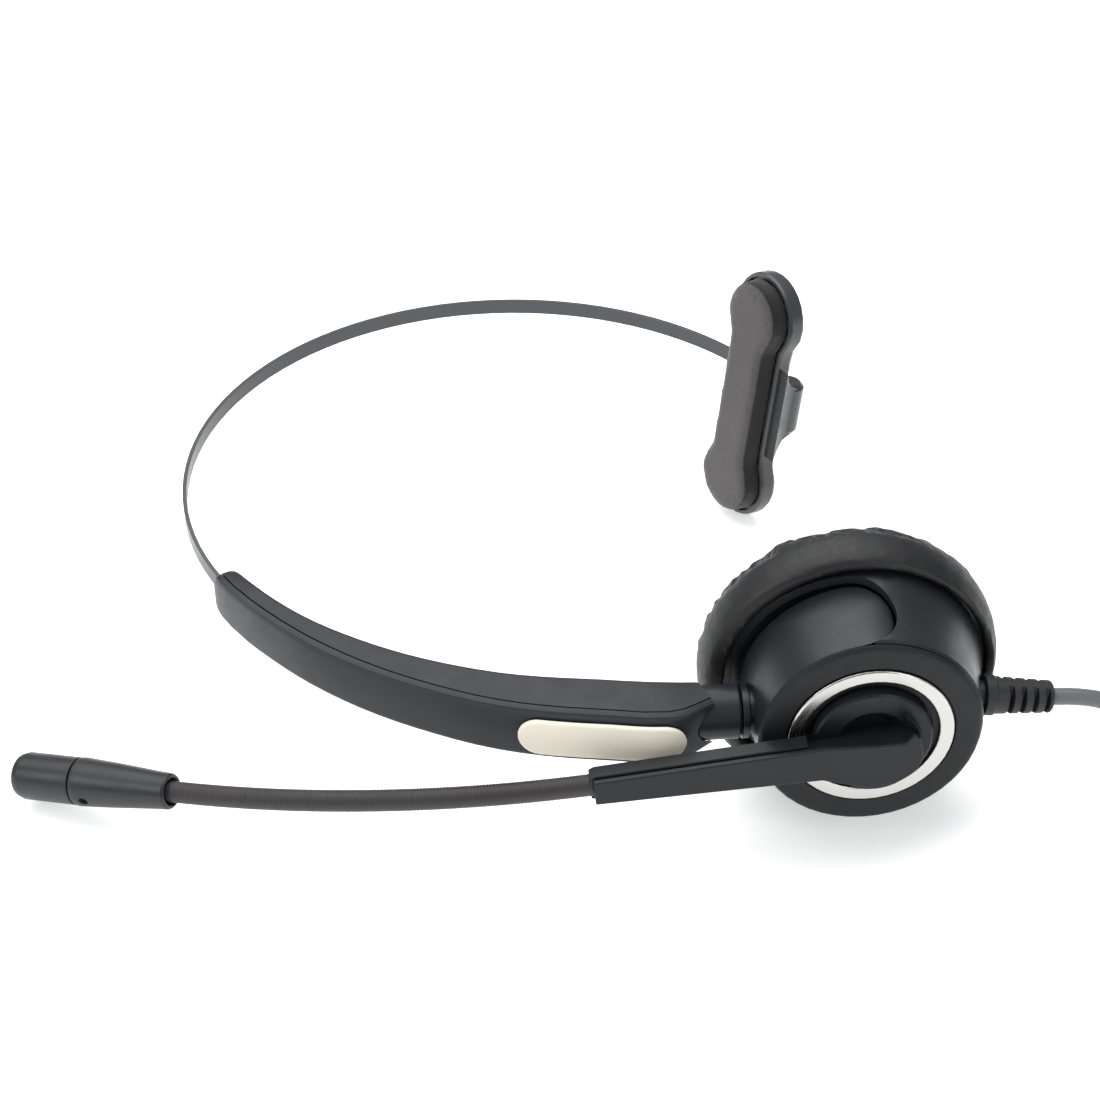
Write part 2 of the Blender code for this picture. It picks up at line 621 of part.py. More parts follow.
def make_pad():
    foam = [pad_outline(x, inset * MM) for x, inset in
            ((60.7, 1.5), (57.6, 1.5), (56.6, 1.8), (56.2, 2.4))]
    add_piece("temple_foam", loft_mesh("temple_foam", foam), "pad_foam", "pad_hinge", "pad")

    tray = [pad_outline(x, inset * MM) for x, inset in
            ((64.0, 1.2), (63.5, 0.3), (62.8, 0.0), (60.5, 0.0), (60.0, 0.3), (60.0, 0.9), (61.0, 1.1))]
    plate = add_piece("temple_plate", loft_mesh("temple_plate", tray), "pad_plastic", "pad_hinge", "pad")
    lug = turned_cutter("lug", [(0, 3.3), (2.3, 3.3), (3.2, 2.4), (3.2, -7.6), (2.2, -9.2), (0, -9.2)],
                        "pad_hinge", steps=24)
    boolean(plate, lug, "UNION")
    web = [[Vector((x, y, z)) * MM for y, z in
            ((-width, low), (width, low), (width, high), (-width, high))]
           for x, width, low, high in
           ((-4.6, 4.4, -13.5, 8.0), (-3.4, 3.7, -11.2, 5.6), (-2.0, 3.1, -9.4, 3.9), (0.0, 2.9, -8.4, 2.9))]
    boolean(plate, add_cutter("web", loft_mesh("web", web), "pad_hinge"), "UNION")
    eye_room = rod_mesh("eye_room", 2.5 * MM, 4.5 * MM, 20)
    boolean(plate, add_cutter("eye_room", eye_room, "pad_hinge", shift(0, 0, -2.25 * MM)))
    slot = box_mesh("ribbon_slot", (-1.2, 0.3, -2.25), (6, 9, 2.25))
    boolean(plate, add_cutter("ribbon_slot", slot, "pad_hinge"))
    pin_hole = rod_mesh("pin_hole", 1.15 * MM, 11.2 * MM, 16)
    boolean(plate, add_cutter("pin_hole", pin_hole, "pad_hinge", shift(0, 0, -8.5 * MM)))


# ---------------------------------------------------------------- boom

def boom_half_height(x):
    return 2.35 + (49 - x) * 0.026


def boom_bar_mesh():
    sections = []
    rise = BOOM_RISE / MM
    back = BOOM_BACK / MM
    front = BOOM_SPLIT / MM - 0.1
    for x, shrink in ((-3.0, 0.0), (9.0, 0.0), (21.0, 0.0), (35.0, 0.0), (50.0, 0.0), (51.0, 0.5)):
        half = boom_half_height(x) - shrink
        top = -half - BOOM_UPPER
        c = 0.7
        points = ((top, back + c), (top + c, back + shrink), (half - c, back + shrink),
                  (half, back + c), (half, front - 0.2), (half - 0.2, front), (top + 0.2, front),
                  (top, front - 0.2))
        sections.append([Vector((x, y - rise, z)) * MM for y, z in points])
    return loft_mesh("boom_arm", sections)


def boom_cover_outline():
    """Front plate: the bar's face, with an end that follows the hub round to the right."""
    rise = BOOM_RISE / MM
    edge = 0.15
    upper = [(x, edge - boom_half_height(x) - BOOM_UPPER - rise) for x in (50.4, 30.0, 9.0)]
    upper += [(1.0, -3.2), (-5.0, -2.9), (-6.4, -4.4)]
    end = []
    for angle in steps_between(-32, 118, 13):
        a = math.radians(angle)
        end.append((-8.2 * math.cos(a), 8.2 * math.sin(a) * (0.80 if angle > 0 else 1.0)))
    lower = [(x, boom_half_height(x) - edge - rise) for x in (10.0, 30.0, 50.4)]
    return upper + end + lower


def make_boom():
    arm = add_piece("boom_arm", boom_bar_mesh(), "boom_plastic", "boom")
    disc = turned_cutter("hub_disc", [
        (0, 7.0), (10.5, 7.0), (10.9, 6.6), (10.9, 3.9), (3.0, 3.9), (3.0, 1.0), (0, 1.0)], "boom",
        steps=40)
    boolean(arm, disc, "UNION")
    dome = turned_cutter("hub_dome", [(0, 10.3), (8.2, 10.3), (8.9, 6.5), (0, 6.5)], "boom", steps=32)
    boolean(arm, dome, "UNION")
    open_top = add_cutter("hub_open_top", box_mesh("open_top", (-5.9, -12, 7.0), (12, -2.2, 14)), "boom")
    boolean(arm, open_top)
    slope = turn("X", math.radians(-32))
    ramp = add_cutter("hub_ramp", box_mesh("ramp", (-14, -14, 0), (-4, 0, 8)), "boom",
                      shift(0, -2.4 * MM, 10.4 * MM) @ slope)
    boolean(arm, ramp)
    scoop = rod_mesh("scoop", 4.0 * MM, 8 * MM, 32, 12.6 * MM)
    above = add_cutter("finger_scoop", scoop, "boom", shift(0, -0.4 * MM, 4.6 * MM))
    keep_below = add_cutter("scoop_limit", box_mesh("limit", (-14, -2.2, 2), (14, 14, 16)), "boom")
    boolean(above, keep_below)
    boolean(arm, above)
    socket = add_cutter("hub_screw_hole", rod_mesh("hole", 1.3 * MM, 3.4 * MM, 16), "boom",
                        shift(0, 0, 0.5 * MM))
    boolean(arm, socket)

    outline = boom_cover_outline()
    layers = [[Vector((x, y, z)) * MM for x, y in outline] for z in (10.6, 11.8)]
    cover = add_piece("boom_cover", loft_mesh("boom_cover", layers), "boom_plastic", "boom")
    bevelled(cover, 0.35 * MM, 2)

    turned("hub_spring_washer", [(3.4, 1.7), (5.6, 1.7), (5.6, 1.0), (3.4, 1.0)], "steel", "cup",
           steps=24, closed=True)
    turned("hub_retainer", [(1.2, 0.7), (5.8, 0.7), (5.8, -0.3), (1.2, -0.3)], "steel", "boom",
           steps=24, closed=True)
    turned("hub_screw", [(0, 3.5), (0.9, 3.5), (0.9, -0.6), (2.2, -0.6), (2.2, -1.4), (1.8, -1.8),
                         (0, -1.8)], "steel", "boom", steps=20)


def make_gooseneck():
    along = turn("Y", math.radians(90))
    for k in range(GOOSENECK_HINGES + 1):
        start = GAP if k == 0 else LINK_GAP
        whole = GOOSENECK_PITCH / 2 if k in (0, GOOSENECK_HINGES) else GOOSENECK_PITCH
        end = whole - LINK_GAP
        if k == GOOSENECK_HINGES:
            end = whole + 2.4 * MM
        name = f"gooseneck_link_{k + 1}"
        add_piece(name, rod_mesh(name, GOOSENECK_RADIUS, end - start, 16), "gooseneck",
                  f"gooseneck_{k}", f"gooseneck_{k}", along @ shift(0, 0, start))


def make_microphone():
    last = f"gooseneck_{GOOSENECK_HINGES}"
    along = shift(GOOSENECK_PITCH / 2, 0, 0) @ turn("Y", math.radians(90))
    body = turned("mic_body", [
        (0, 22.0), (3.5, 22.0), (3.5, 19.9), (4.5, 19.9), (4.6, 18.9), (4.25, 12.8), (3.5, 2.8),
        (3.4, 0.5), (3.1, 0.0), (2.7, 0.0), (2.25, 1.0), (2.25, 2.8), (0, 2.8)], "mic_plastic", last,
        last, along, steps=28)
    port = turn("Z", math.radians(MIC_PORT_TURN)) @ shift(3.6 * MM, 0, 17.2 * MM) @ turn("Y", math.radians(90))
    boolean(body, add_cutter("mic_port", rod_mesh("mic_port", 0.9 * MM, 3 * MM, 16), last, along @ port))
    turned("mic_cap", [
        (0, 33.4), (3.0, 33.4), (4.0, 32.7), (4.5, 31.2), (4.5, 20.2), (3.9, 20.2), (3.9, 29.8),
        (0, 29.8)], "mic_plastic", last, last, along, steps=28)
    turned("mic_capsule", [(0, 27.0), (3.2, 27.0), (3.4, 26.6), (3.4, 22.4), (0, 22.4)],
           "speaker_metal", last, last, along, steps=20)
    turned("mic_foam", [(0, 29.4), (3.5, 29.4), (3.5, 27.2), (0, 27.2)], "ear_foam", last, last,
           along, steps=20)


# ---------------------------------------------------------------- cord

# Route of the free cord, in millimetres on the desk: from the strain relief to the coil, and from the
# coil to the plug.
LEAD_ROUTE = [
    (96.85, -55.45, 26.3), (101.3, -55.1, 25.95), (106.6, -54.8, 24.6), (111.2, -54.7, 21.2),
    (114.9, -55.0, 16.0), (118.0, -56.2, 10.4), (121.6, -59.2, 5.4), (126.2, -64.6, 2.6),
    (130.4, -70.6, 2.2), (134.3, -75.7, 2.6),
]
TAIL_ROUTE = [
    (176.6, -82.0, 2.6), (182.6, -77.0, 2.1), (187.0, -70.5, 2.0), (189.4, -63.0, 2.4),
    (190.3, -56.0, 3.1), (190.4, -49.9, 3.35),
]


def smooth_points(route, spacing):
    """Points along a Catmull-Rom curve through the route, about spacing apart."""
    anchors = [Vector(p) * MM for p in route]
    ends = [anchors[0] * 2 - anchors[1]] + anchors + [anchors[-1] * 2 - anchors[-2]]
    fine = []
    for i in range(1, len(ends) - 2):
        p0, p1, p2, p3 = ends[i - 1:i + 3]
        for k in range(20):
            t = k / 20
            fine.append(0.5 * (2 * p1 + (p2 - p0) * t + (2 * p0 - 5 * p1 + 4 * p2 - p3) * t * t
                               + (3 * p1 - p0 - 3 * p2 + p3) * t**3))
    fine.append(anchors[-1])
    points = [fine[0]]
    for point in fine[1:]:
        if (point - points[-1]).length >= spacing:
            points.append(point)
    points[-1] = fine[-1]
    return points


def add_cord(name, route):
    curve = bpy.data.curves.new(name, "CURVE")
    curve.dimensions = "3D"
    curve.bevel_depth = CORD_RADIUS
    curve.bevel_resolution = 2
    curve.use_fill_caps = True
    points = smooth_points(route, 2.4 * CORD_RADIUS * 2)
    spline = curve.splines.new("POLY")
    spline.points.add(len(points) - 1)
    for target, point in zip(spline.points, points):
        target.co = (*point, 1.0)
    curve.materials.append(surface("cord"))
    obj = bpy.data.objects.new(name, curve)
    PARTS.objects.link(obj)


def make_coil():
    middle = (COIL_LOW + COIL_HIGH) / 2
    turned("cord_coil", [
        (COIL_INNER + 2, COIL_HIGH), (COIL_OUTER - 2, COIL_HIGH), (COIL_OUTER, middle + 2),
        (COIL_OUTER, middle - 2), (COIL_OUTER - 2, COIL_LOW), (COIL_INNER + 2, COIL_LOW),
        (COIL_INNER, middle - 2), (COIL_INNER, middle + 2)], "cord", "desk", "desk",
        Matrix.Translation(COIL_CENTRE), steps=32, closed=True)
    place = Matrix.Translation(COIL_CENTRE) @ turn("Z", TIE_ANGLE)
    tie = add_piece("cord_tie", box_mesh("cord_tie", (8.4, -3, 0.0), (25.8, 3, 14.2)), "tie", "desk",
                    "desk", place)
    room = box_mesh("tie_room", (9.3, -5, 0.45), (24.9, 5, 13.6))
    boolean(tie, add_cutter("tie_room", room, "desk", place))


def make_plug():
    body = box_mesh("plug_body", (-3.85, 0, -3.2), (3.85, 11.7, 3.0))
    body = bevelled(add_piece("plug_body", body, "plug_clear", "plug"), 0.4 * MM, 1)
    for k in range(4):
        x = (k - 1.5) * 1.27
        slot = box_mesh("slot", (x - 0.45, 7.4, -4.0), (x + 0.45, 13.0, -0.6))
        boolean(body, add_cutter(f"contact_slot_{k}", slot, "plug"))
        blade = box_mesh("blade", (x - 0.15, 7.8, -2.9), (x + 0.15, 11.4, -0.9))
        add_piece(f"plug_contact_{k + 1}", blade, "gold", "plug")
    latch = box_mesh("plug_latch", (-1.6, -12.4, -0.35), (1.6, 0.2, 0.45))
    bevelled(add_piece("plug_latch", latch, "plug_clear", "plug_latch_hinge"), 0.2 * MM, 1)


def make_cord():
    add_cord("cord_lead", LEAD_ROUTE)
    add_cord("cord_tail", TAIL_ROUTE)
    make_coil()
    make_plug()


def main():
    clear_scene()
    make_frames()
    make_cup()
    make_cushion()
    make_speaker()
    make_tilt_pins()
    make_strain_relief()
    make_yoke()
    make_arm()
    make_badge()
    make_band()
    make_pad()
    make_boom()
    make_gooseneck()
    make_microphone()
    make_cord()


main()
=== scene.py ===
"""Office headset on a pale floor: materials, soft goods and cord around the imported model."""
import json
import math

import bmesh
import bpy
from mathutils import Matrix, Vector, noise


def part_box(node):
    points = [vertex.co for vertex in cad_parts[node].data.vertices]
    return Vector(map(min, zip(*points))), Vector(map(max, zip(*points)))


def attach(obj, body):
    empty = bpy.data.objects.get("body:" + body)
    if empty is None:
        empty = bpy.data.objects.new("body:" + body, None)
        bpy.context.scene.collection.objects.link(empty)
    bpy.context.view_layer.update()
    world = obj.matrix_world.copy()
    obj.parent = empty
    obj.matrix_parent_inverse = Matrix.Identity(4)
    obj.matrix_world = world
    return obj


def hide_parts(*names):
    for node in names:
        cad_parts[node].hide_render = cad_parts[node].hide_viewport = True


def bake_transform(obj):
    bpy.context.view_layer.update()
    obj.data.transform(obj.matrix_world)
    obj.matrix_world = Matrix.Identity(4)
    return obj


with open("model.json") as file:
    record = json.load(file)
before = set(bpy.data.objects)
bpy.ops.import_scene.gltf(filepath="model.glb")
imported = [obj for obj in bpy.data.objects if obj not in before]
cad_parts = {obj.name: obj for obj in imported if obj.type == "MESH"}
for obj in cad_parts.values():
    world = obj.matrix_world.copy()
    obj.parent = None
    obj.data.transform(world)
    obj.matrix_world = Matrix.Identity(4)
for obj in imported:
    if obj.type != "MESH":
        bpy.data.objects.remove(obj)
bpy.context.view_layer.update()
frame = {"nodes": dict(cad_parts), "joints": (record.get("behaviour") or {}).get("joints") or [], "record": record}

MM = 0.001
RECORD = frame["record"]
JOINTS = {joint["name"]: joint for joint in frame["joints"]}
BODY_OF = {node: body for body, nodes in RECORD["behaviour"]["bodies"].items() for node in nodes}
SLOT_OF = {entry["node"]: entry["material_slot"] for entry in RECORD["subparts"]}
MOUNTS = {mount["name"]: mount for mount in RECORD["mounts"]}

# ---------------------------------------------------------------- places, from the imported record


def place(x_axis, y_axis, z_axis, origin):
    matrix = Matrix.Identity(4)
    for column, vector in enumerate((x_axis, y_axis, z_axis, origin)):
        for row in range(3):
            matrix[row][column] = vector[row]
    return matrix


def cup_place():
    """Origin on the boom's axis at the cup, x to the cord's side, y up, z out of the cup's face."""
    up = Vector(JOINTS["yoke_tilt"]["axis"]).normalized()
    out = Vector(JOINTS["boom_turn"]["axis"]).normalized()
    return place(up.cross(out), up, out, Vector(JOINTS["boom_turn"]["pos_m"]))


def headset_place():
    """Frame of the headband's plane, 8 mm right of and 25 mm in front of the band's centre."""
    across = Vector(JOINTS["band_extension"]["axis"]).normalized()
    right = Vector((1, 0, 0))
    ahead = across.cross(right)
    centre = Vector(JOINTS["band_extension"]["pos_m"])
    return place(right, ahead, across, centre + right * 8 * MM - ahead * 25 * MM)


CUP = cup_place()
HEADSET = headset_place()

# ---------------------------------------------------------------- camera

CAMERA_ELEVATION = math.radians(37)
CAMERA_DISTANCE = 0.5
CAMERA_LENS = 83.45


def make_camera():
    data = bpy.data.cameras.new("camera")
    data.sensor_width = 36
    data.lens = CAMERA_LENS
    data.clip_start = 0.01
    camera = bpy.data.objects.new("camera", data)
    bpy.context.scene.collection.objects.link(camera)
    back = -CAMERA_DISTANCE * math.cos(CAMERA_ELEVATION)
    height = CAMERA_DISTANCE * math.sin(CAMERA_ELEVATION)
    tilt = Matrix.Rotation(math.radians(90) - CAMERA_ELEVATION, 4, "X")
    camera.matrix_world = HEADSET @ Matrix.Translation((0, back, height)) @ tilt
    bpy.context.scene.camera = camera


make_camera()

# ---------------------------------------------------------------- material nodes


def start_material(name, color, roughness, metallic=0.0):
    material = bpy.data.materials.new(name)
    material.use_nodes = True
    tree = material.node_tree
    shader = tree.nodes["Principled BSDF"]
    shader.inputs["Base Color"].default_value = (*color, 1)
    shader.inputs["Roughness"].default_value = roughness
    shader.inputs["Metallic"].default_value = metallic
    return material, tree, shader


def coordinates(tree, scale=(1, 1, 1), centre=None):
    """Places on the piece, in metres from the frame's origin or from centre, times scale."""
    source = tree.nodes.new("ShaderNodeTexCoord").outputs["Object"]
    mapping = tree.nodes.new("ShaderNodeMapping")
    mapping.vector_type = "POINT"
    mapping.inputs["Scale"].default_value = scale
    if centre is not None:
        mapping.inputs["Location"].default_value = [-c * s for c, s in zip(centre, scale)]
    tree.links.new(source, mapping.inputs["Vector"])
    return mapping.outputs["Vector"]


def add_noise(tree, vector, scale, detail=3.0, rough=0.5):
    node = tree.nodes.new("ShaderNodeTexNoise")
    node.inputs["Scale"].default_value = scale
    node.inputs["Detail"].default_value = detail
    node.inputs["Roughness"].default_value = rough
    tree.links.new(vector, node.inputs["Vector"])
    return node.outputs["Fac"]


def add_cells(tree, vector, scale):
    node = tree.nodes.new("ShaderNodeTexVoronoi")
    node.feature = "SMOOTH_F1"
    node.inputs["Scale"].default_value = scale
    tree.links.new(vector, node.inputs["Vector"])
    return node.outputs["Distance"]


def map_range(tree, value, low, high, start=0.3, end=0.7):
    node = tree.nodes.new("ShaderNodeMapRange")
    node.inputs["From Min"].default_value = start
    node.inputs["From Max"].default_value = end
    node.inputs["To Min"].default_value = low
    node.inputs["To Max"].default_value = high
    tree.links.new(value, node.inputs["Value"])
    return node.outputs["Result"]


def mix_colors(tree, factor, first, second):
    """Color output of a mix node, from first where factor is 0 to second where it is 1."""
    node = tree.nodes.new("ShaderNodeMix")
    node.data_type = "RGBA"
    node.inputs["A"].default_value = (*first, 1)
    node.inputs["B"].default_value = (*second, 1)
    tree.links.new(factor, node.inputs["Factor"])
    return node.outputs["Result"]


def add_bump(tree, shader, height, distance):
    """Bump of a real depth in metres, on top of whatever bump the shader already has."""
    node = tree.nodes.new("ShaderNodeBump")
    node.inputs["Distance"].default_value = distance
    node.inputs["Strength"].default_value = 1.0
    tree.links.new(height, node.inputs["Height"])
    if shader.inputs["Normal"].is_linked:
        tree.links.new(shader.inputs["Normal"].links[0].from_socket, node.inputs["Normal"])
    tree.links.new(node.outputs["Normal"], shader.inputs["Normal"])


def shaded(color, share):
    return tuple(min(1.0, c * share) for c in color)


def moulded(name, color, roughness, grain=2600, depth=0.012, mottle=0.16, specular=0.5):
    """Moulded plastic or rubber: soft mottling, uneven gloss and a fine spark-eroded grain."""
    material, tree, shader = start_material(name, color, roughness)
    shader.inputs["Specular IOR Level"].default_value = specular
    plain = coordinates(tree)
    broad = add_noise(tree, plain, 70, 4)
    tree.links.new(mix_colors(tree, broad, shaded(color, 1 - mottle), shaded(color, 1 + mottle)),
                   shader.inputs["Base Color"])
    patches = add_noise(tree, plain, 260, 5, 0.6)
    tree.links.new(map_range(tree, patches, roughness - 0.05, roughness + 0.06),
                   shader.inputs["Roughness"])
    add_bump(tree, shader, add_noise(tree, plain, grain, 2), depth * MM)
    return material


def brushed(name, color, roughness, stretch, centre=None):
    """Metal with fine lines, along the noise's stretch or, with a centre, in rings round it."""
    material, tree, shader = start_material(name, color, roughness, 1.0)
    if centre is None:
        lines = add_noise(tree, coordinates(tree, stretch), 1.0, 4, 0.6)
    else:
        length = tree.nodes.new("ShaderNodeVectorMath")
        length.operation = "LENGTH"
        tree.links.new(coordinates(tree, (1, 1, 1), centre), length.inputs[0])
        rings = tree.nodes.new("ShaderNodeTexNoise")
        rings.noise_dimensions = "1D"
        rings.inputs["Scale"].default_value = stretch[0]
        rings.inputs["Detail"].default_value = 3
        tree.links.new(length.outputs["Value"], rings.inputs["W"])
        lines = rings.outputs["Fac"]
    tree.links.new(map_range(tree, lines, roughness - 0.06, roughness + 0.10), shader.inputs["Roughness"])
    tree.links.new(mix_colors(tree, lines, shaded(color, 0.86), shaded(color, 1.1)),
                   shader.inputs["Base Color"])
    add_bump(tree, shader, lines, 0.004 * MM)
    return material


def leather(name, color, roughness):
    """Leatherette: pebbled cells, creases between them with painted shade in their hollows, and duller raised
    grain.
    """
    material, tree, shader = start_material(name, color, roughness)
    shader.inputs["Specular IOR Level"].default_value = 0.38
    plain = coordinates(tree)
    cells = add_cells(tree, plain, 1300)
    creases = add_noise(tree, plain, 420, 5, 0.62)
    # Painted light and shade: the colour darkens where the creases' bump sinks and lightens where it rises.
    tree.links.new(mix_colors(tree, creases, shaded(color, 0.75), shaded(color, 1.35)),
                   shader.inputs["Base Color"])
    tree.links.new(map_range(tree, cells, roughness + 0.08, roughness - 0.06, 0.0, 0.8),
                   shader.inputs["Roughness"])
    add_bump(tree, shader, creases, 0.03 * MM)
    add_bump(tree, shader, cells, 0.02 * MM)
    return material


def foam(name, color, roughness, cell, face, out, side_shade_depth):
    """Foam: open cells with painted shade where they are deep, and painted shade on the side below the flat face.
    """
    material, tree, shader = start_material(name, color, roughness)
    shader.inputs["Sheen Weight"].default_value = 0.25
    shader.inputs["Sheen Roughness"].default_value = 0.5
    shader.inputs["Specular IOR Level"].default_value = 0.25
    plain = coordinates(tree)
    pores = add_cells(tree, plain, cell)
    depth = tree.nodes.new("ShaderNodeVectorMath")
    depth.operation = "DOT_PRODUCT"
    depth.inputs[1].default_value = out
    tree.links.new(coordinates(tree, centre=face), depth.inputs[0])
    # Painted shade on the pad's side: none nearer the face than 0.7 side depths, full from 1.3 side depths.
    side = map_range(tree, depth.outputs["Value"], 1, 0, -1.3 * side_shade_depth, -0.7 * side_shade_depth)
    # Painted shade in the pores: each cell's colour runs between 1.16 and 0.72 times the foam's colour.
    cells = mix_colors(tree, map_range(tree, pores, 1, 0, 0.1, 0.7), shaded(color, 0.72),
                       shaded(color, 1.16))
    # The side's painted shade goes over the pores' colour, down to the side's painted-shade share of it.
    painted_side_shade = mix_colors(tree, side, color, shaded(color, FOAM_SIDE_PAINTED_SHADE))
    tree.links.new(cells, painted_side_shade.node.inputs["A"])
    tree.links.new(painted_side_shade, shader.inputs["Base Color"])
    clumps = add_noise(tree, plain, 240, 4)
    tree.links.new(map_range(tree, clumps, roughness - 0.05, min(1, roughness + 0.08)),
                   shader.inputs["Roughness"])
    add_bump(tree, shader, pores, 0.05 * MM)
    return material


def woven(name, color, pitch):
    """Cloth: two crossed waves for warp and weft, painted light and shade across the weave, and loose fibre noise.
    """
    material, tree, shader = start_material(name, color, 0.85)
    shader.inputs["Sheen Weight"].default_value = 0.4
    shader.inputs["Specular IOR Level"].default_value = 0.2
    plain = coordinates(tree)
    heights = []
    for direction in ("X", "Z"):
        wave = tree.nodes.new("ShaderNodeTexWave")
        wave.bands_direction = direction
        wave.inputs["Scale"].default_value = pitch
        wave.inputs["Distortion"].default_value = 1.2
        tree.links.new(plain, wave.inputs["Vector"])
        heights.append(wave.outputs["Fac"])
    cross = tree.nodes.new("ShaderNodeMath")
    cross.operation = "MULTIPLY"
    for socket, height in zip(cross.inputs, heights):
        tree.links.new(height, socket)
    # Painted light and shade: lighter where the weave's bump stands up, darker in its gaps.
    tree.links.new(mix_colors(tree, cross.outputs[0], shaded(color, 0.6), shaded(color, 1.5)),
                   shader.inputs["Base Color"])
    fibres = add_noise(tree, plain, 3000, 4)
    tree.links.new(map_range(tree, fibres, 0.75, 0.95), shader.inputs["Roughness"])
    add_bump(tree, shader, cross.outputs[0], 0.08 * MM)
    return material


def clear_plastic(name):
    material, tree, shader = start_material(name, (0.86, 0.89, 0.90), 0.10)
    shader.inputs["Transmission Weight"].default_value = 0.75
    shader.inputs["IOR"].default_value = 1.49
    plain = coordinates(tree)
    flow = add_noise(tree, plain, 300, 3)
    tree.links.new(map_range(tree, flow, 0.06, 0.20), shader.inputs["Roughness"])
    add_bump(tree, shader, flow, 0.01 * MM)
    return material


def circuit_board(name):
    material, tree, shader = start_material(name, (0.02, 0.13, 0.05), 0.35)
    tracks = tree.nodes.new("ShaderNodeTexBrick")
    tracks.inputs["Scale"].default_value = 500
    tracks.inputs["Color1"].default_value = (0.015, 0.11, 0.04, 1)
    tracks.inputs["Color2"].default_value = (0.02, 0.15, 0.06, 1)
    tracks.inputs["Mortar"].default_value = (0.35, 0.30, 0.12, 1)
    tree.links.new(coordinates(tree), tracks.inputs["Vector"])
    tree.links.new(tracks.outputs["Color"], shader.inputs["Base Color"])
    add_bump(tree, shader, tracks.outputs["Fac"], 0.02 * MM)
    return material


# Share of the foam's colour left on its side below the flat face: painted shade.
FOAM_SIDE_PAINTED_SHADE = 0.14
PAD_FACE = Vector(MOUNTS["temple_face"]["pos_m"])
PAD_OUT = Vector(MOUNTS["temple_face"]["axis"]).normalized()

MATERIALS = {
    "body_plastic": moulded("body_plastic", (0.012, 0.014, 0.017), 0.36, specular=0.36),
    "arm_plastic": moulded("arm_plastic", (0.017, 0.020, 0.024), 0.37, specular=0.28),
    "cap_plastic": moulded("cap_plastic", (0.009, 0.010, 0.011), 0.50, 3200, 0.018, specular=0.25),
    "boom_plastic": moulded("boom_plastic", (0.010, 0.012, 0.014), 0.34, specular=0.22),
    "mic_plastic": moulded("mic_plastic", (0.013, 0.015, 0.018), 0.38, specular=0.40),
    "pad_plastic": moulded("pad_plastic", (0.040, 0.042, 0.044), 0.30),
    "relief_rubber": moulded("relief_rubber", (0.014, 0.015, 0.017), 0.52, 2000, 0.02, specular=0.4),
    "gooseneck": moulded("gooseneck", (0.027, 0.023, 0.025), 0.48, 1800, 0.02, 0.2, specular=0.4),
    "cord": moulded("cord", (0.115, 0.116, 0.120), 0.45, 1600, 0.015),
    "diaphragm": moulded("diaphragm", (0.50, 0.45, 0.35), 0.30),
    "badge_plate": moulded("badge_plate", (0.80, 0.74, 0.63), 0.34, 3000, 0.006, 0.03),
    "band_steel": brushed("band_steel", (0.075, 0.079, 0.083), 0.32, (40, 40, 5000)),
    "satin_chrome": brushed("satin_chrome", (0.52, 0.51, 0.49), 0.24, (4000, 0, 0), CUP.to_translation()),
    "steel": brushed("steel", (0.55, 0.55, 0.56), 0.28, (2500, 120, 120)),
    "speaker_metal": brushed("speaker_metal", (0.38, 0.38, 0.39), 0.36, (900, 900, 60)),
    "gold": brushed("gold", (0.83, 0.60, 0.26), 0.22, (100, 3000, 100)),
    "leatherette": leather("leatherette", (0.008, 0.008, 0.009), 0.48),
    "pad_foam": foam("pad_foam", (0.076, 0.071, 0.072), 0.82, 4200, PAD_FACE, PAD_OUT, 0.6 * MM),
    "ear_foam": woven("ear_foam", (0.020, 0.020, 0.021), 1500),
    "tie": woven("tie", (0.022, 0.022, 0.025), 1200),
    "plug_clear": clear_plastic("plug_clear"),
    "board": circuit_board("board"),
}

for node, obj in frame["nodes"].items():
    obj.data.materials.clear()
    obj.data.materials.append(MATERIALS[SLOT_OF[node]])

# ---------------------------------------------------------------- pieces


def add_piece(name, mesh, material, body=None):
    obj = bpy.data.objects.new(name, mesh)
    bpy.context.scene.collection.objects.link(obj)
    mesh.materials.clear()
    mesh.materials.append(MATERIALS[material])
    if body is not None:
        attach(obj, body)
    return obj


def cad_copy(node, name):
    """A clean copy of a CAD node's mesh: welded, with flat areas joined into one face each."""
    bm = bmesh.new()
    bm.from_mesh(frame["nodes"][node].data)
    bmesh.ops.remove_doubles(bm, verts=bm.verts, dist=0.002 * MM)
    bmesh.ops.dissolve_limit(bm, angle_limit=math.radians(0.5), verts=bm.verts, edges=bm.edges)
    for face in bm.faces:
        face.smooth = True
    mesh = bpy.data.meshes.new(name)
    bm.to_mesh(mesh)
    bm.free()
    if "custom_normal" in mesh.attributes:
        mesh.attributes.remove(mesh.attributes["custom_normal"])
    return mesh


EDGE_ANGLE = 28


def refine(node, bevel_mm, material=None):
    """Stands for a hard CAD node with its moulded edges rounded and its curved faces shaded smooth."""
    slot = SLOT_OF[node]
    obj = add_piece(f"{node}_finish", cad_copy(node, f"{node}_finish"), material or slot)
    bevel = obj.modifiers.new("rounded_edges", "BEVEL")
    bevel.width = bevel_mm * MM
    bevel.segments = 2
    bevel.limit_method = "ANGLE"
    bevel.angle_limit = math.radians(EDGE_ANGLE)
    bevel.use_clamp_overlap = True
    normals = obj.modifiers.new("even_normals", "WEIGHTED_NORMAL")
    normals.keep_sharp = True
    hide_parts(node)
    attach(obj, BODY_OF[node])
    return obj


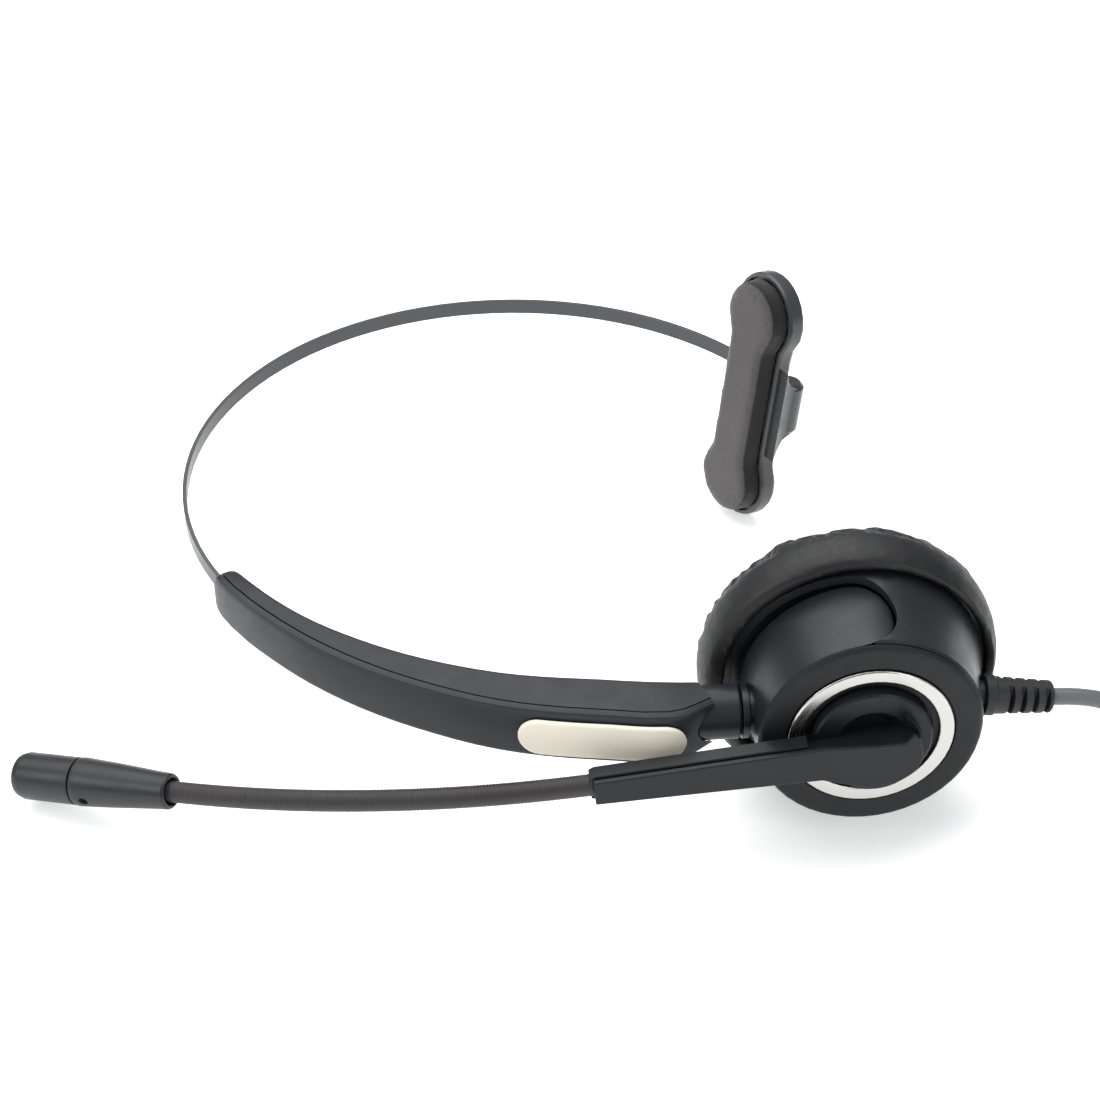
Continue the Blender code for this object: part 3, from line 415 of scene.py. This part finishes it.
# Width in mm of each CAD node's rounded edges.
EDGES = {
    "cup_side_cover": 0.25, "cup_cap": 0.18, "cup_housing": 0.2, "chrome_ring": 0.12, "strain_relief": 0.15,
    "yoke": 0.3, "boom_arm": 0.25, "boom_cover": 0.3, "hub_retainer": 0.15, "hub_screw": 0.1,
    "badge_plate": 0.3, "headband_ribbon": 0.1, "band_stop": 0.1, "temple_plate": 0.25,
    "mic_body": 0.15, "mic_cap": 0.3, "plug_body": 0.15, "plug_latch": 0.1, "cord_tie": 0.3,
    "tilt_pin_top": 0.15, "tilt_pin_bottom": 0.15, "pad_hinge_pin": 0.1, "speaker_grille": 0.05,
    "arm_screw_1": 0.1, "arm_screw_2": 0.1,
}
FINISHED = {node: refine(node, edge) for node, edge in EDGES.items()}
for node in ("arm_outer_shell", "arm_inner_shell"):
    FINISHED[node] = refine(node, 0.3, "arm_plastic")

# ---------------------------------------------------------------- cord

# Millimetres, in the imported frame.
CORD_RADIUS = 1.6
LEAD_ROUTE = [
    (96.2, -55.48, 26.3), (101.3, -55.1, 25.95), (106.6, -54.8, 24.6), (111.2, -54.7, 21.2),
    (114.9, -55.0, 16.0), (118.0, -56.2, 10.4), (121.6, -59.2, 5.4), (126.2, -64.6, 2.6),
    (130.4, -70.6, 2.1),
]
TAIL_ROUTE = [(182.6, -77.0, 2.1), (187.0, -70.5, 2.0), (189.4, -63.0, 2.4), (190.3, -56.0, 3.1),
              (190.4, -49.9, 3.35)]
COIL_CENTRE = (158.0, -60.0)
COIL_RADII = (22.6, 19.2, 15.8, 12.4)
COIL_HEIGHTS = (1.75, 5.0, 8.25, 11.5)
STEP_BEGINS = 420
STEP_LASTS = 90
STEP_SWELL = 2.3
COIL_START = 250
COIL_END = 5640
COIL_ANGLE_STEP = 15
TAIL_ANGLE_STEP = 8
TAIL_ENDS = 311


def ease(t):
    t = min(1.0, max(0.0, t))
    return t * t * (3 - 2 * t)


def coil_slots():
    """Radius and height of each turn: in along the bottom layer, out along the next, and so on."""
    slots = []
    for layer, height in enumerate(COIL_HEIGHTS):
        radii = COIL_RADII if layer % 2 == 0 else COIL_RADII[::-1]
        slots += [(radius, height) for radius in radii]
    return slots


def coil_point(angle, radius, height):
    a = math.radians(angle)
    return (COIL_CENTRE[0] + radius * math.cos(a), COIL_CENTRE[1] + radius * math.sin(a), height)


def coil_route():
    """Turns lie beside and on each other; each step to the next place takes a quarter of a turn.

    A step up to the next layer swells away from the coil's other turns.
    """
    slots = coil_slots()
    last = len(slots) - 1
    points = []
    for angle in range(COIL_START, COIL_END + 1, COIL_ANGLE_STEP):
        turn = (angle - STEP_BEGINS) // 360
        share = ((angle - STEP_BEGINS) % 360) / STEP_LASTS
        if turn < 0:
            radius, height = slots[0]
        else:
            here, there = slots[min(turn, last)], slots[min(turn + 1, last)]
            s = ease(share)
            radius = here[0] + (there[0] - here[0]) * s
            height = here[1] + (there[1] - here[1]) * s
            if here[1] != there[1] and share < 1:
                swell = STEP_SWELL * math.sin(math.pi * share)**2
                radius += swell if here[0] == COIL_RADII[0] else -swell
        points.append(coil_point(angle, radius, height))
    return points


def tail_from_coil():
    """The last turn leaves the top layer outwards and then slopes down to the floor."""
    points = []
    for angle in range(COIL_END % 360 + TAIL_ANGLE_STEP, TAIL_ENDS, TAIL_ANGLE_STEP):
        radius = COIL_RADII[0] + 4.0 * ease((angle - 240) / 36)
        height = COIL_HEIGHTS[-1] - 9.2 * ease((angle - 256) / 54)
        points.append(coil_point(angle, radius, height))
    return points


def catmull(route, pieces):
    """Points on the smooth curve through a route, with so many pieces between its neighbours."""
    anchors = [Vector(p) for p in route]
    ends = [anchors[0] * 2 - anchors[1]] + anchors + [anchors[-1] * 2 - anchors[-2]]
    points = []
    for i in range(1, len(ends) - 2):
        p0, p1, p2, p3 = ends[i - 1:i + 3]
        for k in range(pieces):
            t = k / pieces
            points.append(0.5 * (2 * p1 + (p2 - p0) * t + (2 * p0 - 5 * p1 + 4 * p2 - p3) * t * t
                                 + (3 * p1 - p0 - 3 * p2 + p3) * t**3))
    return points + [anchors[-1]]


def lead_into_coil():
    """The lead closes in on the bottom layer's outer turn from 6 mm outside it."""
    return [coil_point(angle, COIL_RADII[0] + 6.0 - 6.0 * ease((angle - 205) / 45), 1.9)
            for angle in (222, 236)]


def make_cord():
    route = LEAD_ROUTE + lead_into_coil() + coil_route() + tail_from_coil() + TAIL_ROUTE
    points = catmull(route, 3)
    curve = bpy.data.curves.new("cord", "CURVE")
    curve.dimensions = "3D"
    curve.bevel_depth = CORD_RADIUS * MM
    curve.bevel_resolution = 4
    curve.use_fill_caps = True
    spline = curve.splines.new("POLY")
    spline.points.add(len(points) - 1)
    for target, point in zip(spline.points, points):
        target.co = (*(point * MM), 1)
    spline.use_smooth = True
    cord = bpy.data.objects.new("cord", curve)
    bpy.context.scene.collection.objects.link(cord)
    curve.materials.append(MATERIALS["cord"])
    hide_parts("cord_lead", "cord_coil", "cord_tail")
    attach(cord, "ear_cup")


make_cord()

# ---------------------------------------------------------------- gooseneck

SLEEVE_RADIUS = 2.0
RIB_PITCH = 0.6
RIB_DEPTH = 0.09
SLEEVE_SIDES = 24
# How far past the end links' middles the first and last sleeves reach, as shares of hinge to middle.
SLEEVE_START = 2.3
SLEEVE_END = 1.6


def node_centre(node):
    low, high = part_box(node)
    return (low + high) / 2


def sleeve_mesh(name, first, corner, last, start_length):
    """Ribbed tube along the curve that leaves first and reaches last heading through corner."""
    bm = bmesh.new()
    steps = max(8, round((last - first).length / (RIB_PITCH * MM) * 6))
    rings = []
    travelled = start_length
    previous = first
    for k in range(steps + 1):
        t = k / steps
        point = first * (1 - t)**2 + corner * 2 * t * (1 - t) + last * t * t
        along = ((corner - first) * (1 - t) + (last - corner) * t).normalized()
        travelled += (point - previous).length
        previous = point
        phase = (travelled / (RIB_PITCH * MM)) % 1.0
        radius = (SLEEVE_RADIUS - RIB_DEPTH * abs(math.cos(math.pi * phase))**6) * MM
        side = along.cross(Vector((0, 0, 1))).normalized()
        up = side.cross(along)
        ring = []
        for i in range(SLEEVE_SIDES):
            a = math.tau * i / SLEEVE_SIDES
            ring.append(bm.verts.new(point + (side * math.cos(a) + up * math.sin(a)) * radius))
        rings.append(ring)
    for lower, upper in zip(rings, rings[1:]):
        for i in range(SLEEVE_SIDES):
            j = (i + 1) % SLEEVE_SIDES
            bm.faces.new((lower[i], lower[j], upper[j], upper[i])).smooth = True
    bm.faces.new(rings[0][::-1])
    bm.faces.new(rings[-1])
    mesh = bpy.data.meshes.new(name)
    bm.to_mesh(mesh)
    bm.free()
    return mesh, travelled


def make_gooseneck():
    """Five sleeves that each bend across one hinge and meet at the middles of the links."""
    hinges = [Vector(JOINTS[f"gooseneck_bend_{k}"]["pos_m"]) for k in range(1, 6)]
    middles = [(a + b) / 2 for a, b in zip(hinges, hinges[1:])]
    start = hinges[0] + (node_centre("gooseneck_link_1") - hinges[0]) * SLEEVE_START
    end = hinges[-1] + (node_centre("gooseneck_link_6") - hinges[-1]) * SLEEVE_END
    stops = [start, *middles, end]
    length = 0.0
    for k, hinge in enumerate(hinges):
        name = f"gooseneck_sleeve_{k + 1}"
        mesh, length = sleeve_mesh(name, stops[k], hinge, stops[k + 1], length)
        sleeve = add_piece(name, mesh, "gooseneck")
        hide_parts(f"gooseneck_link_{k + 1}")
        if k == 4:
            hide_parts("gooseneck_link_6")
        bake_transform(sleeve)


make_gooseneck()

# ---------------------------------------------------------------- soft goods

SIM_SCALE = 10.0
SIM_FRAMES = 20


def inflate(node, name, voxel_mm, cap_mm, pressure, held):
    """Cloth skin over a CAD soft solid: it swells under pressure, and stays where held gives 1."""
    middle = node_centre(node)
    mesh = cad_copy(node, name)
    mesh.transform(Matrix.Scale(SIM_SCALE, 4) @ Matrix.Translation(-middle))
    obj = bpy.data.objects.new(name, mesh)
    bpy.context.scene.collection.objects.link(obj)
    remesh = obj.modifiers.new("remesh", "REMESH")
    remesh.mode = "VOXEL"
    remesh.voxel_size = voxel_mm * MM * SIM_SCALE
    graph = bpy.context.evaluated_depsgraph_get()
    start = bpy.data.meshes.new_from_object(obj.evaluated_get(graph))
    obj.modifiers.clear()
    obj.data = start
    inverse = Matrix.Translation(middle) @ Matrix.Scale(1 / SIM_SCALE, 4)
    group = obj.vertex_groups.new(name="held")
    for vertex in start.vertices:
        group.add([vertex.index], held(inverse @ vertex.co), "REPLACE")
    rest = [vertex.co.copy() for vertex in start.vertices]
    cloth = obj.modifiers.new("cloth", "CLOTH")
    settings = cloth.settings
    settings.quality = 6
    settings.use_pressure = True
    settings.uniform_pressure_force = pressure
    settings.effector_weights.gravity = 0
    settings.tension_stiffness = 12
    settings.compression_stiffness = 12
    settings.bending_stiffness = 0.4
    settings.vertex_group_mass = "held"
    cloth.collision_settings.use_collision = False
    scene = bpy.context.scene
    for number in range(1, SIM_FRAMES + 1):
        scene.frame_set(number)
    graph = bpy.context.evaluated_depsgraph_get()
    moved = bpy.data.meshes.new_from_object(obj.evaluated_get(graph))
    scene.frame_set(1)
    obj.modifiers.clear()
    cap = cap_mm * MM * SIM_SCALE
    for vertex, before, after in zip(start.vertices, rest, moved.vertices):
        step = after.co - before
        if step.length > cap:
            step *= cap / step.length
        vertex.co = before + step
    start.transform(inverse)
    obj.vertex_groups.clear()
    for face in start.polygons:
        face.use_smooth = True
    return obj


def finish_soft(obj, node, material):
    obj.data.materials.clear()
    obj.data.materials.append(MATERIALS[material])
    subdivision = obj.modifiers.new("smooth", "SUBSURF")
    subdivision.levels = 1
    subdivision.render_levels = 1
    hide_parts(node)
    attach(obj, BODY_OF[node])


# Cup coordinates in mm: z is negative behind the cup's face, towards the ear.
FLANGE_SEAM = 26.0
SEAM_DEPTH = -16.6
CUSHION_HOLE = 20.0
RIM_DEPTH = -17.6
RIM_WIDTH = 2.2
CREASED_SIDE = math.radians(112)
CUSHION_SHIFT = 0.7
FOAM_SEAM_DEPTH = -3.2


def crease(value, width):
    """1 along the lines where the noise is zero, and 0 away from them."""
    return math.exp(-(value / width)**2)


def rim_wrinkles(around, depth):
    """How far the leatherette stands out at the cushion's rear rim: creased most at the top left."""
    at_rim = ease((RIM_DEPTH - depth) / RIM_WIDTH)
    share = 0.35 + 0.65 * max(0.0, math.cos(around - CREASED_SIDE))
    slant = around + 0.03 * depth
    long = noise.noise((math.cos(slant) * 11, math.sin(slant) * 11, depth * 0.22))
    short = noise.noise((math.cos(slant) * 23, math.sin(slant) * 23, depth * 0.45 + 9))
    bulge = noise.noise((math.cos(around) * 7, math.sin(around) * 7, depth * 0.2 + 4))
    return at_rim * share * (0.6 * bulge - 0.8 * crease(long, 0.10) - 0.5 * crease(short, 0.12))


def make_ear_cushion():
    """Leatherette ring: held where it is stretched over the cup's flange, swollen and creased behind."""
    to_cup = CUP.inverted()

    def held(point):
        p = to_cup @ point / MM
        radius = math.hypot(p.x, p.y)
        return 1.0 if radius < FLANGE_SEAM and p.z > SEAM_DEPTH else 0.0

    cushion = inflate("ear_cushion", "ear_cushion_cover", 0.95, 0.4, 3.0, held)
    for vertex in cushion.data.vertices:
        p = to_cup @ vertex.co / MM
        radius = math.hypot(p.x, p.y)
        if radius >= CUSHION_HOLE:
            around = math.atan2(p.y, p.x)
            shifted = p + Vector((p.x / radius, p.y / radius, -0.6)).normalized() * rim_wrinkles(around, p.z)
            shifted.x -= CUSHION_SHIFT * ease((radius - 25.5) / 1.5)
            vertex.co = CUP @ (shifted * MM)
        vertex.co.z = max(vertex.co.z, 0.15 * MM)
    finish_soft(cushion, "ear_cushion", "leatherette")


def make_temple_foam():
    """Flat foam pad with a softened edge, held where it is glued into its tray."""
    def held(point):
        return 1.0 if (point - PAD_FACE).dot(PAD_OUT) < FOAM_SEAM_DEPTH * MM else 0.0

    pad = inflate("temple_foam", "temple_foam_face", 0.8, 0.15, 1.5, held)
    finish_soft(pad, "temple_foam", "pad_foam")


make_ear_cushion()
make_temple_foam()

# ---------------------------------------------------------------- floor and light

FLOOR_SIZE = 16.0
FLOOR_DROP = 0.05
FLOOR_GLOW = 0.45


def make_floor():
    bm = bmesh.new()
    bmesh.ops.create_grid(bm, x_segments=1, y_segments=1, size=FLOOR_SIZE / 2)
    mesh = bpy.data.meshes.new("floor")
    bm.to_mesh(mesh)
    bm.free()
    material, tree, shader = start_material("floor_paint", (0.93, 0.93, 0.93), 0.7)
    shader.inputs["Emission Color"].default_value = (1, 1, 1, 1)
    shader.inputs["Emission Strength"].default_value = FLOOR_GLOW
    tree.links.new(map_range(tree, add_noise(tree, coordinates(tree), 30), 0.66, 0.74),
                   shader.inputs["Roughness"])
    floor = bpy.data.objects.new("floor", mesh)
    bpy.context.scene.collection.objects.link(floor)
    mesh.materials.append(material)
    floor.location.z = -FLOOR_DROP * MM


def add_light(name, size, power, position, target=(0, 0, 0.03), height=None):
    data = bpy.data.lights.new(name, "AREA")
    data.shape = "RECTANGLE"
    data.size = size
    data.size_y = height or size
    data.energy = power
    light = bpy.data.objects.new(name, data)
    bpy.context.scene.collection.objects.link(light)
    light.location = position
    light.rotation_euler = (Vector(target) - Vector(position)).to_track_quat("-Z", "Y").to_euler()


def make_light():
    world = bpy.data.worlds.new("studio")
    bpy.context.scene.world = world
    world.use_nodes = True
    background = world.node_tree.nodes["Background"]
    background.inputs["Color"].default_value = (0.95, 0.98, 1.0, 1)
    background.inputs["Strength"].default_value = 0.36
    add_light("overhead", 2.4, 51.0, (-0.3, 0.5, 1.7))
    add_light("left", 0.6, 5.0, (-1.0, -0.5, 0.7))
    add_light("right", 0.3, 3.0, (0.8, -0.9, 0.6), height=0.9)
    bpy.context.scene.view_settings.view_transform = "Standard"


make_floor()
make_light()
